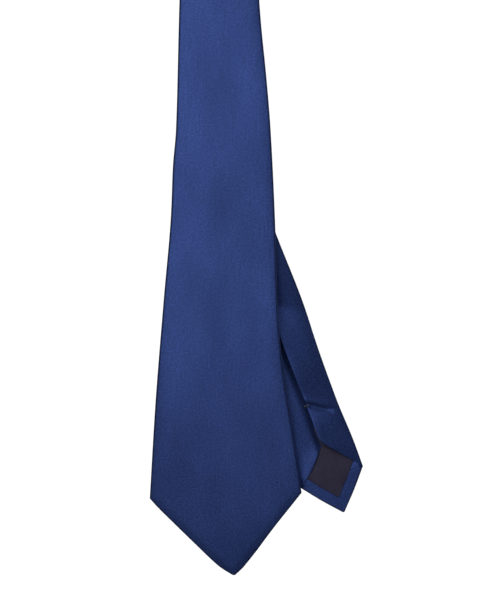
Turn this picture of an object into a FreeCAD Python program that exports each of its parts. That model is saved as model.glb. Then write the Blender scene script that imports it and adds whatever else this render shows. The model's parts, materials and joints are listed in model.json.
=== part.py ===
import FreeCAD, Part
import math
import os

# A necktie hanging folded over a round rail, in millimetres.
# The origin is on the rail's axis, which lies along X. +Z is up.
# The blade (wide end) hangs in front, towards -Y, and the tail (narrow end) behind it.
# The seam side of both ends faces the fold's inside, so the two backs face each other.

Vector = FreeCAD.Vector
X_AXIS = Vector(1, 0, 0)
Y_AXIS = Vector(0, 1, 0)
Z_AXIS = Vector(0, 0, 1)
ORIGIN = Vector(0, 0, 0)

# Plies
CLOTH = 0.5                 # folded satin shell
CORE = 1.7                  # wool interlining
LINING = 0.4                # tipping
PLY_PLAY = 0.1              # slack between the plies
THICK = 2 * CLOTH + CORE + LINING + PLY_PLAY
ROLL_R = 1.0                # rounding of the rolled long edges

# Fold over the rail
RAIL_R = 6.0                # inside of the fold
NECK_HALF = 15.5            # half width of the neck band

# Keeper loop, where the tail passes behind the blade
LOOP_DROP = 495.5           # rail axis to the middle of the loop
LEG_GAP = 3.0               # blade back to tail back, from the loop down
LOOP_HALF = 19.5            # half of the loop's clear width
LOOP_PLAY = 0.6             # loop to the tail's outer face
LOOP_CLOTH = 0.9            # doubled cloth of the band
LOOP_HEIGHT = 9.0
LOOP_TAB = 5.5              # sewn end of the band
LOOP_CORNER_R = 3.0

# Blade, its free end below the lift line
BLADE_TIP_DROP = 735.0
BLADE_LIFT_DROP = 508.0
BLADE_SEAM_DROP = 175.0     # middle of the bias seam to the neck band
BLADE_TACK_RISE = 108.0     # bar tack above the tip
BLADE_MOUTH_RISE = 82.0     # top of the flap mouth above the tip
BLADE_LINING_RISE = 122.0

# Tail, its free end below the keeper loop
TAIL_END = 216.1            # middle of the loop to the tip
TAIL_SEAM_DROP = 190.0
TAIL_TACK_RISE = 63.8
TAIL_MOUTH_RISE = 41.0
TAIL_LINING_RISE = 86.0
TAIL_REST_DEG = 19.0        # how far the tail stands out from the vertical
TAIL_LOOP_HALF = 13.8       # half width of the tail where it passes through the loop

# Sewing
HEM = 6.0                   # turned hem along the tip edges
CORE_SETBACK = 7.0          # interlining stops short of the tip edges
SEAM_HALF = 0.3             # half the gap between the two back flaps
THREAD_HALF = 0.25          # half the width of the slip stitch thread
THREAD = 0.25               # height of a stitch over the cloth
STITCH_LENGTH = 2.2
STITCH_WIDTH = 0.5
JOIN_SLIT = 0.2             # half the width of a bias seam
JOINT_PLAY = 0.5            # clearance where a free end turns against the fixed length

# Labels, both blank
LABEL_HALF = 21.5
LABEL_HEIGHT = 22.0
LABEL_LIFT = 4.0            # above the keeper loop
LABEL_CLOTH = 0.4
CARE_HALF = 9.0
CARE_HEIGHT = 24.0
CARE_DROP = 8.0             # below the lift line

BIG = 2000.0
TILT_DEG = math.degrees(math.asin((RAIL_R - LEG_GAP / 2) / LOOP_DROP))


class Leg:
    """One end of the tie laid out straight, hanging from z = 0.

    Its seam face is at y = 0 and its outer face at y = -THICK.
    The stations give the half width at a few heights above the tip, the corners first.
    """

    def __init__(self, tip_drop, stations, straight_drop, sway=0.0, sway_span=1.0, tip_shift=0.0,
                 tip_bulge=0.0):
        self.tip_z = -tip_drop
        self.stations = stations
        self.straight_z = -straight_drop
        self.sway = sway
        self.sway_span = sway_span
        self.tip_shift = tip_shift
        self.tip_bulge = tip_bulge

    def axis_x(self, rise):
        """Sideways place of the centre line at a height above the tip."""
        return self.sway * max(0.0, 1 - rise / self.sway_span) ** 2

    def tip_cosine(self):
        """Cosine of the angle between a tip edge and the horizontal."""
        rise, half = self.stations[0]
        return half / math.hypot(rise, half)

    def corner(self, side, inset):
        rise, half = self.stations[0]
        lift = inset / self.tip_cosine() - inset * rise / half
        return Vector(self.axis_x(rise) + side * (half - inset), 0, self.tip_z + rise + lift)

    def tip(self, inset):
        return Vector(self.axis_x(0) + self.tip_shift, 0, self.tip_z + inset / self.tip_cosine())

    def side_curve(self, side, inset):
        """One long edge, from the straight neck band down to the corner."""
        points = [Vector(side * (NECK_HALF - inset), 0, self.straight_z)]
        for rise, half in reversed(self.stations[1:]):
            points.append(Vector(self.axis_x(rise) + side * (half - inset), 0, self.tip_z + rise))
        points.append(self.corner(side, inset))
        last_run = points[-1] - points[-2]
        curve = Part.BSplineCurve()
        curve.interpolate(Points=points, InitialTangent=Vector(0, 0, -last_run.Length),
                          FinalTangent=last_run)
        return curve.toShape()

    def tip_edge(self, side, inset):
        """The slightly full edge between a corner and the tip."""
        start = self.corner(side, inset)
        end = self.tip(inset)
        run = end - start
        outward = Vector(-side * run.z, 0, side * run.x).normalize()
        middle = (start + end) * 0.5 + outward * self.tip_bulge
        return Part.Arc(start, middle, end).toShape()

    def plan(self, inset):
        """The flat outline, drawn in by the inset, with its top at z = 0."""
        half = NECK_HALF - inset
        edges = [
            Part.LineSegment(Vector(-half, 0, 0), Vector(half, 0, 0)).toShape(),
            Part.LineSegment(Vector(half, 0, 0), Vector(half, 0, self.straight_z)).toShape(),
            self.side_curve(1, inset),
            self.tip_edge(1, inset),
            self.tip_edge(-1, inset),
            self.side_curve(-1, inset),
            Part.LineSegment(Vector(-half, 0, self.straight_z), Vector(-half, 0, 0)).toShape(),
        ]
        return Part.Face(Part.Wire(edges))

    def short_plan(self, inset, setback):
        """The outline drawn in by the inset along the sides and by the setback at the tip."""
        raised = self.plan(0)
        raised.translate(Z_AXIS * (setback / self.tip_cosine()))
        return self.plan(inset).common(raised)

    def strip(self, half, top_rise, bottom_rise):
        """A narrow band along the centre line, between two heights above the tip."""
        steps = 16
        left = []
        right = []
        for index in range(steps + 1):
            rise = top_rise + (bottom_rise - top_rise) * index / steps
            left.append(Vector(self.axis_x(rise) - half, 0, self.tip_z + rise))
            right.append(Vector(self.axis_x(rise) + half, 0, self.tip_z + rise))
        return Part.Face(Part.makePolygon(left + right[::-1] + left[:1]))

    def mouth(self, top_rise):
        """The four-sided opening between the parted flaps and the turned hem."""
        rise, half = self.stations[0]
        spread = half - HEM
        side_rise = rise + HEM / self.tip_cosine() - HEM * rise / half
        centre = self.axis_x(rise)
        top = Vector(self.axis_x(top_rise), 0, self.tip_z + top_rise)
        right = Vector(centre + spread, 0, self.tip_z + side_rise)
        left = Vector(centre - spread, 0, self.tip_z + side_rise)
        bottom = self.tip(HEM)
        return [top, right, bottom, left]


BLADE = Leg(
    tip_drop=BLADE_TIP_DROP,
    stations=[(45.0, 42.6), (99.0, 36.7), (155.0, 31.9), (240.0, 27.3), (324.0, 21.8), (430.0, 17.8)],
    straight_drop=200.0,
    sway=5.3,
    sway_span=300.0,
    tip_shift=3.2,
    tip_bulge=1.4,
)
TAIL = Leg(
    tip_drop=LOOP_DROP + TAIL_END,
    stations=[(21.4, 18.7), (91.0, 16.6), (162.0, 15.2), (216.0, TAIL_LOOP_HALF), (330.0, 14.2)],
    straight_drop=215.0,
    tip_bulge=0.6,
)


# --- Small helpers ------------------------------------------------------------

def slab(face, back, front):
    """A flat outline given thickness, from y = back towards the outer face at y = front."""
    solid = face.extrude(Vector(0, front - back, 0))
    solid.translate(Vector(0, back, 0))
    return solid


def box(x_range, y_range, z_range):
    size = [high - low for low, high in (x_range, y_range, z_range)]
    corner = Vector(x_range[0], y_range[0], z_range[0])
    return Part.makeBox(size[0], size[1], size[2], corner)


def below(height):
    return box((-BIG, BIG), (-BIG, BIG), (height - BIG, height))


def above(height):
    return box((-BIG, BIG), (-BIG, BIG), (height, height + BIG))


def bias_half_space(drop, offset, side):
    """Everything above (side = 1) or below (side = -1) a 45 degree cut across the leg."""
    block = above(offset) if side > 0 else below(offset)
    block.rotate(ORIGIN, Y_AXIS, 45)
    block.translate(Vector(0, 0, -drop))
    return block


def pin(radius, point, axis):
    """A long round bar, used as a cutter."""
    return Part.makeCylinder(radius, 2 * BIG, point - axis * BIG, axis)


def rounded_section(half, low_y, high_y, radius):
    """A rectangle with rounded corners in the plane z = 0."""
    centres = [
        (half - radius, high_y - radius, 0),
        (radius - half, high_y - radius, 90),
        (radius - half, low_y + radius, 180),
        (half - radius, low_y + radius, 270),
    ]
    points = []
    for x, y, start in centres:
        for turn in (0, 45, 90):
            angle = math.radians(start + turn)
            points.append(Vector(x + radius * math.cos(angle), y + radius * math.sin(angle), 0))
    edges = []
    for index in range(0, len(points), 3):
        edges.append(Part.Arc(*points[index:index + 3]).toShape())
        following = points[(index + 3) % len(points)]
        edges.append(Part.LineSegment(points[index + 2], following).toShape())
    return Part.Face(Part.Wire(edges))


def section_box(half, low_y, high_y):
    corners = [Vector(-half, low_y, 0), Vector(half, low_y, 0), Vector(half, high_y, 0),
               Vector(-half, high_y, 0)]
    return Part.Face(Part.makePolygon(corners + corners[:1]))


def group(solids):
    return Part.makeCompound(solids)


# --- Placing the straight legs ------------------------------------------------

def tilt_front(shape):
    """The fixed length in front: on the rail, leaning in towards the loop."""
    placed = shape.copy()
    placed.translate(Vector(0, -RAIL_R, 0))
    placed.rotate(ORIGIN, X_AXIS, TILT_DEG)
    return placed


def tilt_back(shape):
    """The same behind the rail, turned so that the two seam sides face each other."""
    placed = shape.copy()
    placed.rotate(ORIGIN, Z_AXIS, 180)
    placed.translate(Vector(0, RAIL_R, 0))
    placed.rotate(ORIGIN, X_AXIS, -TILT_DEG)
    return placed


def hang_blade_end(shape):
    placed = shape.copy()
    placed.translate(Vector(0, -LEG_GAP / 2, 0))
    return placed


def hang_tail_end(shape):
    """The tail's free end, turned over and swung out to its rest angle about the loop."""
    placed = shape.copy()
    placed.rotate(ORIGIN, Z_AXIS, 180)
    placed.translate(Vector(0, LEG_GAP / 2, 0))
    placed.rotate(Vector(0, 0, -LOOP_DROP), Y_AXIS, -TAIL_REST_DEG)
    return placed


# --- Where the free ends part from the fixed length ----------------------------

def blade_fixed_part(shape):
    return shape.cut(below(-BLADE_LIFT_DROP + THICK / 2 + JOINT_PLAY))


def blade_free_part(shape):
    """Below the lift line, with a rounded upper end about the lift axis."""
    axis_point = Vector(0, -THICK / 2, -BLADE_LIFT_DROP)
    keep = below(-BLADE_LIFT_DROP).fuse(pin(THICK / 2, axis_point, X_AXIS))
    return shape.common(keep)


def tail_fixed_part(shape):
    """Above the loop's middle, hollowed round the turning end and clear of its shoulders."""
    pivot = Vector(0, 0, -LOOP_DROP)
    shoulder = TAIL_LOOP_HALF / 2 - JOINT_PLAY
    upper = shape.cut(below(-LOOP_DROP + shoulder))
    return upper.cut(pin(TAIL_LOOP_HALF + JOINT_PLAY, pivot, Y_AXIS))


def tail_free_part(shape):
    pivot = Vector(0, 0, -LOOP_DROP)
    keep = below(-LOOP_DROP).fuse(pin(TAIL_LOOP_HALF, pivot, Y_AXIS))
    return shape.common(keep)


# --- Shell ----------------------------------------------------------------------

def shell_leg(leg, mouth_rise):
    """The whole folded cloth of one leg: hollow, open along the back seam and at the mouth."""
    outer = slab(leg.plan(0), 0, -THICK)
    rims = [edge for edge in outer.Edges if is_rim(edge)]
    outer = outer.makeFillet(ROLL_R, rims)
    hollow = slab(leg.plan(CLOTH), -CLOTH, CLOTH - THICK)
    open_back = Part.Face(Part.makePolygon(closed(leg.mouth(mouth_rise))))
    back_cut = slab(open_back, CLOTH, -CLOTH - PLY_PLAY)
    gap = leg.strip(SEAM_HALF, -leg.tip_z, mouth_rise - SEAM_HALF * 4)
    seam = slab(gap, CLOTH, -CLOTH - PLY_PLAY)
    return outer.cut(hollow).cut(back_cut).cut(seam)


def closed(points):
    return points + points[:1]


def is_rim(edge):
    """A long edge of the flat slab: it lies in the seam face or the outer face, below the top."""
    box_of = edge.BoundBox
    return box_of.YLength < ROLL_R / 10 and box_of.ZLength > ROLL_R


def neck_section():
    ring = rounded_section(NECK_HALF, -THICK, 0, ROLL_R)
    ring = ring.cut(section_box(NECK_HALF - CLOTH, CLOTH - THICK, -CLOTH))
    return ring.cut(section_box(SEAM_HALF, -CLOTH - PLY_PLAY, CLOTH))


def over_rail(section):
    """Carry a section of the band round the rail, from the front leg to the back leg."""
    face = tilt_front(section)
    return face.revolve(ORIGIN, X_AXIS, -180 - 2 * TILT_DEG)


def neck_band(section, front_drop, back_drop):
    """A length of band over the rail as three pieces: front, fold and back."""
    front = tilt_front(section.extrude(Vector(0, 0, -front_drop)))
    back = tilt_back(section.extrude(Vector(0, 0, -back_drop)))
    return front, over_rail(section), back


def make_neck_shell():
    run = 2 * NECK_HALF
    front, fold, back = neck_band(neck_section(), BLADE_SEAM_DROP + run, TAIL_SEAM_DROP + run)
    front = front.common(tilt_front(bias_half_space(BLADE_SEAM_DROP, JOIN_SLIT, 1)))
    back = back.common(tilt_back(bias_half_space(TAIL_SEAM_DROP, JOIN_SLIT, 1)))
    return fold.fuse([front, back]).removeSplitter()


def make_bias_seam(drop):
    """The sewn ring between two panels, cut on the bias."""
    ring = neck_section().extrude(Vector(0, 0, -drop - 2 * NECK_HALF))
    ring = ring.common(bias_half_space(drop, -JOIN_SLIT, 1))
    return ring.common(bias_half_space(drop, JOIN_SLIT, -1))


def make_blade_shell():
    shell = shell_leg(BLADE, BLADE_MOUTH_RISE)
    shell = shell.common(bias_half_space(BLADE_SEAM_DROP, -JOIN_SLIT, -1))
    return tilt_front(blade_fixed_part(shell)), hang_blade_end(blade_free_part(shell))


def make_tail_shell():
    shell = shell_leg(TAIL, TAIL_MOUTH_RISE)
    shell = shell.common(bias_half_space(TAIL_SEAM_DROP, -JOIN_SLIT, -1))
    return tilt_back(tail_fixed_part(shell)), hang_tail_end(tail_free_part(shell))


# --- Inside -----------------------------------------------------------------------

def core_leg(leg):
    front = CLOTH - THICK
    return slab(leg.short_plan(CLOTH, CORE_SETBACK), front + CORE, front)


def make_interlining():
    """One wool core: the length fixed over the rail, and the two free ends."""
    front = CLOTH - THICK
    blade = core_leg(BLADE)
    tail = core_leg(TAIL)
    fold = over_rail(section_box(NECK_HALF - CLOTH, front, front + CORE))
    middle = fold.fuse([tilt_front(blade_fixed_part(blade)), tilt_back(tail_fixed_part(tail))])
    return (middle.removeSplitter(), hang_blade_end(blade_free_part(blade)),
            hang_tail_end(tail_free_part(tail)))


def make_tipping(leg, top_rise):
    """The lining that backs the tip, under the flaps and the hem."""
    level = -CLOTH - PLY_PLAY
    sheet = slab(leg.plan(2 * CLOTH), level, level - LINING)
    return sheet.common(below(leg.tip_z + top_rise))


# --- Stitches -----------------------------------------------------------------------

def stitch(point, angle_deg, level):
    """One short stitch lying on the cloth at a level in y, its length at an angle from X."""
    bar = box((-STITCH_LENGTH / 2, STITCH_LENGTH / 2), (0, THREAD),
              (-STITCH_WIDTH / 2, STITCH_WIDTH / 2))
    bar.rotate(ORIGIN, Y_AXIS, -angle_deg)
    bar.translate(Vector(point.x, level, point.z))
    return bar


def stitch_row(start, end, level):
    """Evenly spaced stitches from one point to another, gaps as long as the stitches."""
    run = end - start
    count = max(2, int(run.Length / (2 * STITCH_LENGTH)))
    angle = math.degrees(math.atan2(run.z, run.x))
    row = []
    for index in range(count):
        row.append(stitch(start + run * ((index + 0.5) / count), angle, level))
    return row


def make_tipping_stitches(leg, mouth_rise):
    """Two rows that hold the lining to the hem, along the mouth's lower edges."""
    top, right, bottom, left = leg.mouth(mouth_rise)
    inward = Vector(0, 0, STITCH_WIDTH * 2)
    level = -CLOTH - PLY_PLAY
    return group(stitch_row(left + inward, bottom + inward, level)
                 + stitch_row(bottom + inward, right + inward, level))


def make_slip_stitch(leg, bottom_rise):
    """The one thread that draws the two back flaps together."""
    line = leg.strip(THREAD_HALF, -leg.tip_z, bottom_rise)
    return slab(line, PLY_PLAY, -CLOTH)


def make_bar_tack(leg, rise):
    x = leg.axis_x(rise)
    z = leg.tip_z + rise
    half_length = STITCH_LENGTH
    half_height = STITCH_WIDTH
    return box((x - half_length, x + half_length), (PLY_PLAY, PLY_PLAY + 2 * THREAD),
               (z - half_height, z + half_height))


# --- Keeper loop and labels ------------------------------------------------------------

def rounded_block(half, depth, radius):
    """A block on the cloth with its two outer upright edges rounded."""
    block = box((-half, half), (-radius, depth), (-LOOP_HEIGHT / 2, LOOP_HEIGHT / 2))
    upright = [edge for edge in block.Edges if edge.BoundBox.ZLength > LOOP_HEIGHT / 2
               and edge.CenterOfMass.y > depth / 2]
    return block.makeFillet(radius, upright)


def make_keeper_loop():
    """A band sewn across the blade's back at both ends, with room for the tail inside."""
    depth = LEG_GAP + THICK + LOOP_PLAY
    band = rounded_block(LOOP_HALF + LOOP_CLOTH, depth + LOOP_CLOTH, LOOP_CORNER_R)
    band = band.cut(rounded_block(LOOP_HALF, depth, LOOP_CORNER_R - LOOP_CLOTH))
    tabs = box((-LOOP_HALF - LOOP_TAB, LOOP_HALF + LOOP_TAB), (0, LOOP_CLOTH),
               (-LOOP_HEIGHT / 2, LOOP_HEIGHT / 2))
    tabs = tabs.cut(box((-LOOP_HALF, LOOP_HALF), (-BIG, BIG), (-BIG, BIG)))
    band = band.fuse(tabs).cut(box((-BIG, BIG), (-BIG, 0), (-BIG, BIG))).removeSplitter()
    band.translate(Vector(0, 0, -LOOP_DROP))
    return tilt_front(band)


def make_keeper_loop_stitches():
    rows = []
    reach = LOOP_HEIGHT / 2 - STITCH_WIDTH
    for side in (-1, 1):
        x = side * (LOOP_HALF + (LOOP_TAB + LOOP_CLOTH) / 2)
        start = Vector(x, 0, -LOOP_DROP - reach)
        end = Vector(x, 0, -LOOP_DROP + reach)
        rows += stitch_row(start, end, LOOP_CLOTH)
    return tilt_front(group(rows))


def label(half, height, top_z):
    """A tag on the cloth, standing clear of the slip stitch thread."""
    return box((-half, half), (PLY_PLAY, PLY_PLAY + LABEL_CLOTH), (top_z - height, top_z))


def maker_label_top():
    return -LOOP_DROP + LOOP_HEIGHT / 2 + LABEL_LIFT + LABEL_HEIGHT


def make_maker_label():
    return tilt_front(label(LABEL_HALF, LABEL_HEIGHT, maker_label_top()))


def make_maker_label_stitches():
    rows = []
    for side in (-1, 1):
        x = side * (LABEL_HALF - 2 * STITCH_WIDTH)
        start = Vector(x, 0, maker_label_top() - LABEL_HEIGHT)
        rows += stitch_row(start, start + Z_AXIS * LABEL_HEIGHT, PLY_PLAY + LABEL_CLOTH)
    return tilt_front(group(rows))


def care_label_top():
    return -BLADE_LIFT_DROP - CARE_DROP


def make_care_label():
    """Sewn over the seam by its upper edge."""
    return hang_blade_end(label(CARE_HALF, CARE_HEIGHT, care_label_top()))


def make_care_label_stitches():
    z = care_label_top() - 2 * STITCH_WIDTH
    row = stitch_row(Vector(-CARE_HALF, 0, z), Vector(CARE_HALF, 0, z), PLY_PLAY + LABEL_CLOTH)
    return hang_blade_end(group(row))


# --- The whole tie ------------------------------------------------------------------------

def make_parts():
    parts = {"neck_shell": make_neck_shell()}
    parts["blade_shell_upper"], parts["blade_shell_end"] = make_blade_shell()
    parts["tail_shell_upper"], parts["tail_shell_end"] = make_tail_shell()

    middle, blade_core, tail_core = make_interlining()
    parts["interlining_middle"] = middle
    parts["interlining_blade_end"] = blade_core
    parts["interlining_tail_end"] = tail_core

    parts["blade_neck_seam"] = tilt_front(make_bias_seam(BLADE_SEAM_DROP))
    parts["tail_neck_seam"] = tilt_back(make_bias_seam(TAIL_SEAM_DROP))

    blade_thread = make_slip_stitch(BLADE, BLADE_TACK_RISE)
    parts["blade_slip_stitch_upper"] = tilt_front(blade_fixed_part(blade_thread))
    parts["blade_slip_stitch_end"] = hang_blade_end(blade_free_part(blade_thread))
    tail_thread = make_slip_stitch(TAIL, TAIL_TACK_RISE)
    parts["tail_slip_stitch_upper"] = tilt_back(tail_fixed_part(tail_thread))
    parts["tail_slip_stitch_end"] = hang_tail_end(tail_free_part(tail_thread))

    parts["blade_tipping"] = hang_blade_end(make_tipping(BLADE, BLADE_LINING_RISE))
    parts["tail_tipping"] = hang_tail_end(make_tipping(TAIL, TAIL_LINING_RISE))
    parts["blade_tipping_stitches"] = hang_blade_end(make_tipping_stitches(BLADE, BLADE_MOUTH_RISE))
    parts["tail_tipping_stitches"] = hang_tail_end(make_tipping_stitches(TAIL, TAIL_MOUTH_RISE))
    parts["blade_bar_tack"] = hang_blade_end(make_bar_tack(BLADE, BLADE_TACK_RISE))
    parts["tail_bar_tack"] = hang_tail_end(make_bar_tack(TAIL, TAIL_TACK_RISE))

    parts["keeper_loop"] = make_keeper_loop()
    parts["keeper_loop_stitches"] = make_keeper_loop_stitches()
    parts["maker_label"] = make_maker_label()
    parts["maker_label_stitches"] = make_maker_label_stitches()
    parts["care_label"] = make_care_label()
    parts["care_label_stitches"] = make_care_label_stitches()
    return parts


os.makedirs("parts", exist_ok=True)
for name, shape in make_parts().items():
    shape.exportStep(os.path.join("parts", name + ".step"))
    state = "valid" if shape.isValid() else "BAD"
    print(name, len(shape.Solids), "solids", round(shape.Volume), "mm3", state)
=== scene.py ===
import json
import math
import bmesh
import bpy
import numpy as np
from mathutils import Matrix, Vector


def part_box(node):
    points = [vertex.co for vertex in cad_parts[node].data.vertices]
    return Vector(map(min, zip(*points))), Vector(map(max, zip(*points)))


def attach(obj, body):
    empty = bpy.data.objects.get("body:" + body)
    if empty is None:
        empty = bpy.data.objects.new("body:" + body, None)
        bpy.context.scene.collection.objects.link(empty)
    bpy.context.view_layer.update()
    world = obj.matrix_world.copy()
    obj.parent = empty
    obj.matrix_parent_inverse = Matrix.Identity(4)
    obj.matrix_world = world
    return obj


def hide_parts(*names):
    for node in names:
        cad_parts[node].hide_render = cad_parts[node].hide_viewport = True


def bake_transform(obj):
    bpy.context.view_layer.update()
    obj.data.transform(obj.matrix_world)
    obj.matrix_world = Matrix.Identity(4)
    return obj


# A navy satin necktie hanging folded at the neck. Every length is in metres, in the CAD frame:
# X runs across the tie, -Y is towards the viewer, +Z is up and the origin is on the rail's axis.

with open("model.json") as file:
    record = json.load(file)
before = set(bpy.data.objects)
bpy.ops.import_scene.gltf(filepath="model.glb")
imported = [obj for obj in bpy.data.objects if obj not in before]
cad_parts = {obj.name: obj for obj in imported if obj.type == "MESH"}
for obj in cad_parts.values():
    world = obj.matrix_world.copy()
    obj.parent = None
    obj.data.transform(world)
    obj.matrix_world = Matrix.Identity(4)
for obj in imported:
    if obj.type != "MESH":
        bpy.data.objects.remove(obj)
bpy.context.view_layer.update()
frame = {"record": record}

MM = 0.001


# --- Places and sizes read from the frame ---

def joint(name):
    for entry in frame["record"]["behaviour"]["joints"]:
        if entry["name"] == name:
            return Vector(entry["pos_m"])
    raise ValueError(name)


def middle(node):
    low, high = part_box(node)
    return (low + high) / 2


LIFT = joint("blade_lift")
PIVOT = joint("tail_swing")
RAIL_R = frame["record"]["mounts"][0]["dims"]["r_mm"] * MM

BLADE_LOW, BLADE_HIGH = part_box("blade_shell_end")
BLADE_TIP_Z = BLADE_LOW.z
THICK = BLADE_HIGH.y - BLADE_LOW.y
FACE = -THICK / 2           # depth of a leg's outer face from its mid-plane
NECK_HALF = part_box("neck_shell")[1].x
FOLD_R = RAIL_R + THICK / 2

TAIL_TACK = middle("tail_bar_tack")
TAIL_ANGLE = math.atan2(TAIL_TACK.x - PIVOT.x, PIVOT.z - TAIL_TACK.z)
BLADE_SEAM_Z = middle("blade_neck_seam").z
TAIL_SEAM_Z = middle("tail_neck_seam").z

CLOTH = 0.35 * MM           # thickness given to the satin
CORNER_SLANT = 0.038        # how much higher the blade hangs towards its right corner
TAIL_END = 216.1 * MM       # pivot to the tail's tip
BEND = 16.0 * MM            # half of the stretch over which the tail turns in the loop
TAIL_TILT = 0.23            # slope of the tail's drift away from the blade, above its crease
TAIL_RETURN = 0.08          # slope back towards the blade below it
TAIL_DRIFT = 48 * MM        # from the pivot down to where the drift begins
DRIFT_SOFT = 16 * MM
TAIL_CREASE = 92 * MM       # from the pivot down to the crease
CREASE_SOFT = 3 * MM
CREASE_SLANT = 0.65         # the crease is level in space, so it slants across the tail


# --- Small numeric helpers ---

def smooth(low, high, value):
    """0 below low, 1 above high, with a soft step between them."""
    t = np.clip((value - low) / (high - low), 0.0, 1.0)
    return t * t * (3 - 2 * t)


def hump(value, centre, width):
    return np.exp(-((value - centre) / width) ** 2)


def ramp(value, start, soft):
    """How far value has gone past start, with a soft bend of the given length."""
    past = value - start
    return soft * np.logaddexp(0, past / soft * 4) / 4


def ripple(x, z, height, down, across, phase=0.0):
    """A wave in the cloth: its height, its radians per metre down and across it, and its phase."""
    return height * np.sin(z * down + x * across + phase)


def further_in(side, one, other):
    """Whichever of two places lies further in from the edge on that side, 1 right or -1 left."""
    return np.minimum(one, other) if side > 0 else np.maximum(one, other)


def through(stations, place_unit=MM, value_unit=MM):
    """A smooth curve through (place, value) stations, as a function that never overshoots them."""
    xs = np.array([place * place_unit for place, value in stations])
    ys = np.array([value * value_unit for place, value in stations])
    secants = np.diff(ys) / np.diff(xs)
    before = np.concatenate((secants[:1], secants))
    after = np.concatenate((secants, secants[-1:]))
    agree = before * after > 0
    slopes = np.where(agree, 2 * before * after / np.where(agree, before + after, 1), 0)

    def curve(x):
        x = np.clip(x, xs[0], xs[-1])
        i = np.clip(np.searchsorted(xs, x, side="right") - 1, 0, len(xs) - 2)
        span = xs[i + 1] - xs[i]
        t = (x - xs[i]) / span
        rise = t * t * (3 - 2 * t)
        bend = slopes[i] * t * (1 - t) ** 2 - slopes[i + 1] * t * t * (1 - t)
        return ys[i] * (1 - rise) + ys[i + 1] * rise + bend * span

    return curve


def level(value):
    """Stations of a curve that has the same value all along."""
    return [(0, value), (1000, value)]


LEVEL = level(0.0)


def spaced(breaks, steps):
    """Values that run through the breaks, each stretch cut into steps of about the given
    millimetres."""
    values = []
    for start, end, step in zip(breaks[:-1], breaks[1:], steps):
        count = max(1, int(round(abs(end - start) / (step * MM))))
        values.extend(np.linspace(start, end, count, endpoint=False))
    values.append(breaks[-1])
    return np.array(values)


# --- The legs as places in space ---

def front_mid_y(z):
    """Middle of the blade's thickness: on the rail, leaning in to the keeper loop, then plumb."""
    return -FOLD_R + (FOLD_R + LIFT.y) * np.clip(z / PIVOT.z, 0, 1)


def back_mid_y(z):
    return FOLD_R - (FOLD_R - PIVOT.y) * np.clip(z / PIVOT.z, 0, 1)


def blade_wave(x, z):
    """The slow unevenness of hanging cloth, as a shift in depth."""
    slow = ripple(x, z, 0.5 * MM, 23, 9, 0.6) * smooth(-0.36, -0.60, z)
    cross = ripple(x, z, 0.22 * MM, 55, -60, 1.3)
    fine = ripple(x, z, 0.08 * MM, 130, 110) * np.cos(x * 95 - z * 40)
    clear_of_seam = smooth(BLADE_SEAM_Z - 20 * MM, BLADE_SEAM_Z - 90 * MM, z)
    return slow + (cross + fine) * clear_of_seam


def place_blade(x, n, rise):
    """A point of the blade. n is the depth from the mid-plane, positive towards the seam side.
    Its right corner hangs a little higher than its left one."""
    near_corners = smooth(0, 30 * MM, rise) * (1 - smooth(70 * MM, 150 * MM, rise))
    z = BLADE_TIP_Z + rise + CORNER_SLANT * x * near_corners
    return x, front_mid_y(z) + n + blade_wave(x, z), z


def tail_line(drop):
    """Centre line of the tail at a distance below the pivot: point and turn from the vertical."""
    radius = BEND / math.tan(TAIL_ANGLE / 2)
    arc = radius * TAIL_ANGLE
    turn = np.clip(drop + arc / 2, 0, arc) / radius
    past = np.maximum(drop - arc / 2, 0)
    before = np.minimum(drop + arc / 2, 0)
    x = radius * (1 - np.cos(turn)) + past * math.sin(TAIL_ANGLE)
    z = PIVOT.z + BEND - radius * np.sin(turn) - past * math.cos(TAIL_ANGLE) - before
    return x, z, turn


def tail_wave(x, drop):
    """The tail drifts back below the loop, bends at a level crease and comes forward to its tip."""
    fall = drop - CREASE_SLANT * x
    back = TAIL_TILT * ramp(fall, TAIL_DRIFT, DRIFT_SOFT)
    forward = (TAIL_TILT + TAIL_RETURN) * ramp(fall, TAIL_CREASE, CREASE_SOFT)
    return back - forward + ripple(x, drop, 0.12 * MM, 120, 90)


def place_tail(x, n, rise):
    """A point of the tail, whose seam side faces the blade."""
    drop = TAIL_END - rise
    centre_x, centre_z, turn = tail_line(drop)
    y = back_mid_y(centre_z) - n + tail_wave(x, drop)
    return centre_x + x * np.cos(turn), y, centre_z + x * np.sin(turn)


def place_neck(x, n, run):
    """A point of the neck band. run goes from the front leg (negative) over the rail to the back."""
    turn = np.clip(run / FOLD_R, -math.pi / 2, math.pi / 2)
    radius = FOLD_R - n
    down_front = np.maximum(-run - HALF_TURN, 0)
    down_back = np.maximum(run - HALF_TURN, 0)
    y = radius * np.sin(turn)
    y = y + (front_mid_y(-down_front) + FOLD_R) * (down_front > 0)
    y = y + (back_mid_y(-down_back) - FOLD_R) * (down_back > 0)
    return x, y, radius * np.cos(turn) - down_front - down_back


# --- Shapes of the legs ---

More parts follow.
